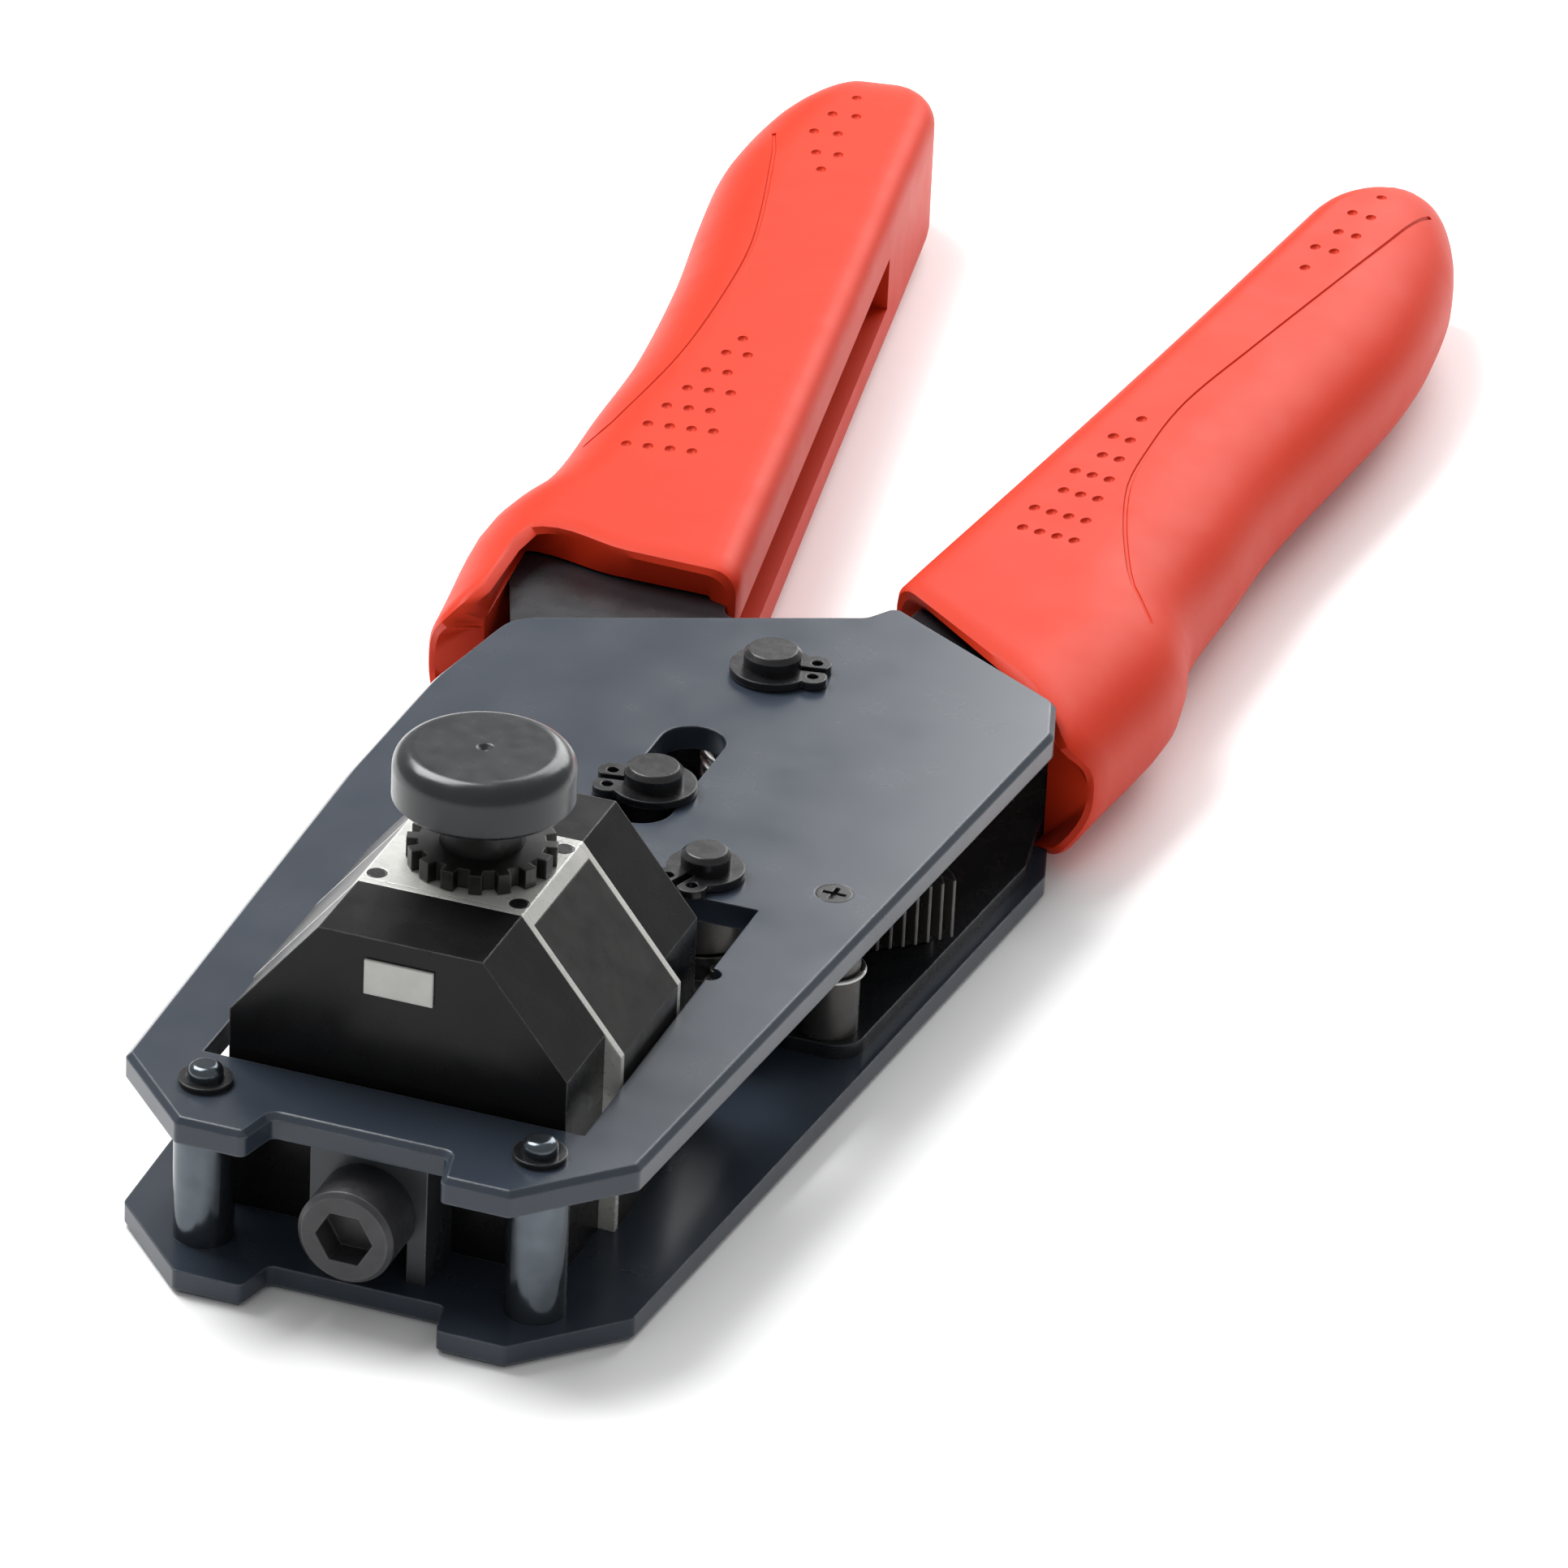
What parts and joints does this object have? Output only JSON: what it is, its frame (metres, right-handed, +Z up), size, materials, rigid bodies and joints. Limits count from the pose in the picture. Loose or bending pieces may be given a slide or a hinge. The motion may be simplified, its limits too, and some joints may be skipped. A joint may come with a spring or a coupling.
{
  "type": "crimping tool",
  "caption": "Two-handled ratchet crimping tool that drives punches into a modular cable plug pushed up into its nest.",
  "frame": {"origin": "bottom centre of the bounding box, on the level of the lower side plate's underside", "axes": "+X across the tool towards the fixed handle, +Y from the nose to the handle ends, +Z up through the knob"},
  "size_m": [0.0878, 0.262, 0.0465],
  "materials": {
    "blued_steel": "gloss blackened steel",
    "black_steel": "satin black oxide",
    "tool_steel": "ground tool steel",
    "bright_steel": "bright ground",
    "spring_steel": "drawn wire",
    "bronze": "sintered bronze",
    "red_grip": "soft moulded plastic",
    "label_film": "blank printed film"
  },
  "bodies": {
    "frame": {"top_side_plate": "blued_steel", "bottom_side_plate": "blued_steel", "main_pivot_pin": "black_steel", "main_pivot_ring": "black_steel", "pawl_pin": "black_steel", "pawl_pin_ring": "black_steel", "pawl_spacers": "tool_steel", "front_post_left": "tool_steel", "front_post_right": "tool_steel", "front_post_rings": "black_steel", "spring_post": "tool_steel", "spring_post_screws": "black_steel", "nose_block": "black_steel", "die_clamp_screw": "black_steel", "front_nest_block": "black_steel", "front_guide_plate": "bright_steel", "die_body": "tool_steel", "detent_plate": "bright_steel", "detent_plate_screws": "black_steel", "rear_guide_plate": "bright_steel", "rear_nest_block": "black_steel", "nest_screws": "black_steel", "blank_label": "label_film", "detent_ball": "bright_steel", "detent_spring": "spring_steel", "fixed_lever": "black_steel", "fixed_spring_seat": "tool_steel", "fixed_grip": "red_grip", "return_spring": "spring_steel", "pawl_spring": "spring_steel"},
    "moving_handle": {"moving_lever": "black_steel", "moving_grip": "red_grip", "crank_pin": "tool_steel", "pivot_bush": "bronze", "ratchet_rack": "tool_steel", "rack_rivets": "tool_steel", "moving_spring_seat": "tool_steel"},
    "link": {"toggle_link": "tool_steel"},
    "ram": {"ram_slide": "tool_steel", "punch_pin": "tool_steel", "punch_holder": "tool_steel", "contact_blades": "bright_steel", "strain_relief_punch": "bright_steel", "toggle_pin": "black_steel", "toggle_pin_ring": "black_steel"},
    "knob": {"adjusting_knob": "black_steel", "knob_spindle": "tool_steel", "detent_wheel": "black_steel", "knob_grub_screw": "black_steel"},
    "pawl": {"ratchet_pawl": "tool_steel"}
  },
  "joints": [
    {"name": "handle_squeeze", "type": "hinge", "parent": "frame", "child": "moving_handle", "pos_m": [0.00821, -0.02402, 0.00955], "axis": [0, 0, -1], "range_deg": [0, 14.5], "stiffness_Nm_per_rad": 2, "springref_deg": -34.38, "deforming": ["return_spring"]},
    {"name": "link_swing", "type": "hinge", "parent": "moving_handle", "child": "link", "pos_m": [0.01624, -0.03549, 0.00955], "axis": [0, 0, 1], "range_deg": [0, 24.51]},
    {"name": "ram_stroke", "type": "slide", "parent": "frame", "child": "ram", "axis": [0, -1, 0], "range_m": [0, 0.00317]},
    {"name": "knob_turn", "type": "hinge", "parent": "frame", "child": "knob", "pos_m": [0.00561, -0.09902, 0.04105], "axis": [0, 0, 1], "continuous": true},
    {"name": "pawl_rock", "type": "hinge", "parent": "frame", "child": "pawl", "pos_m": [0.01681, -0.06672, 0.00955], "axis": [0, 0, -1], "range_deg": [0, 7], "stiffness_Nm_per_rad": 0.05, "springref_deg": -17.19, "deforming": ["pawl_spring"]}
  ],
  "couplings": [
    {"joint": "link_swing", "follows": "handle_squeeze", "ratio": 1.689},
    {"joint": "ram_stroke", "follows": "handle_squeeze", "m_per_rad": 0.012487}
  ]
}
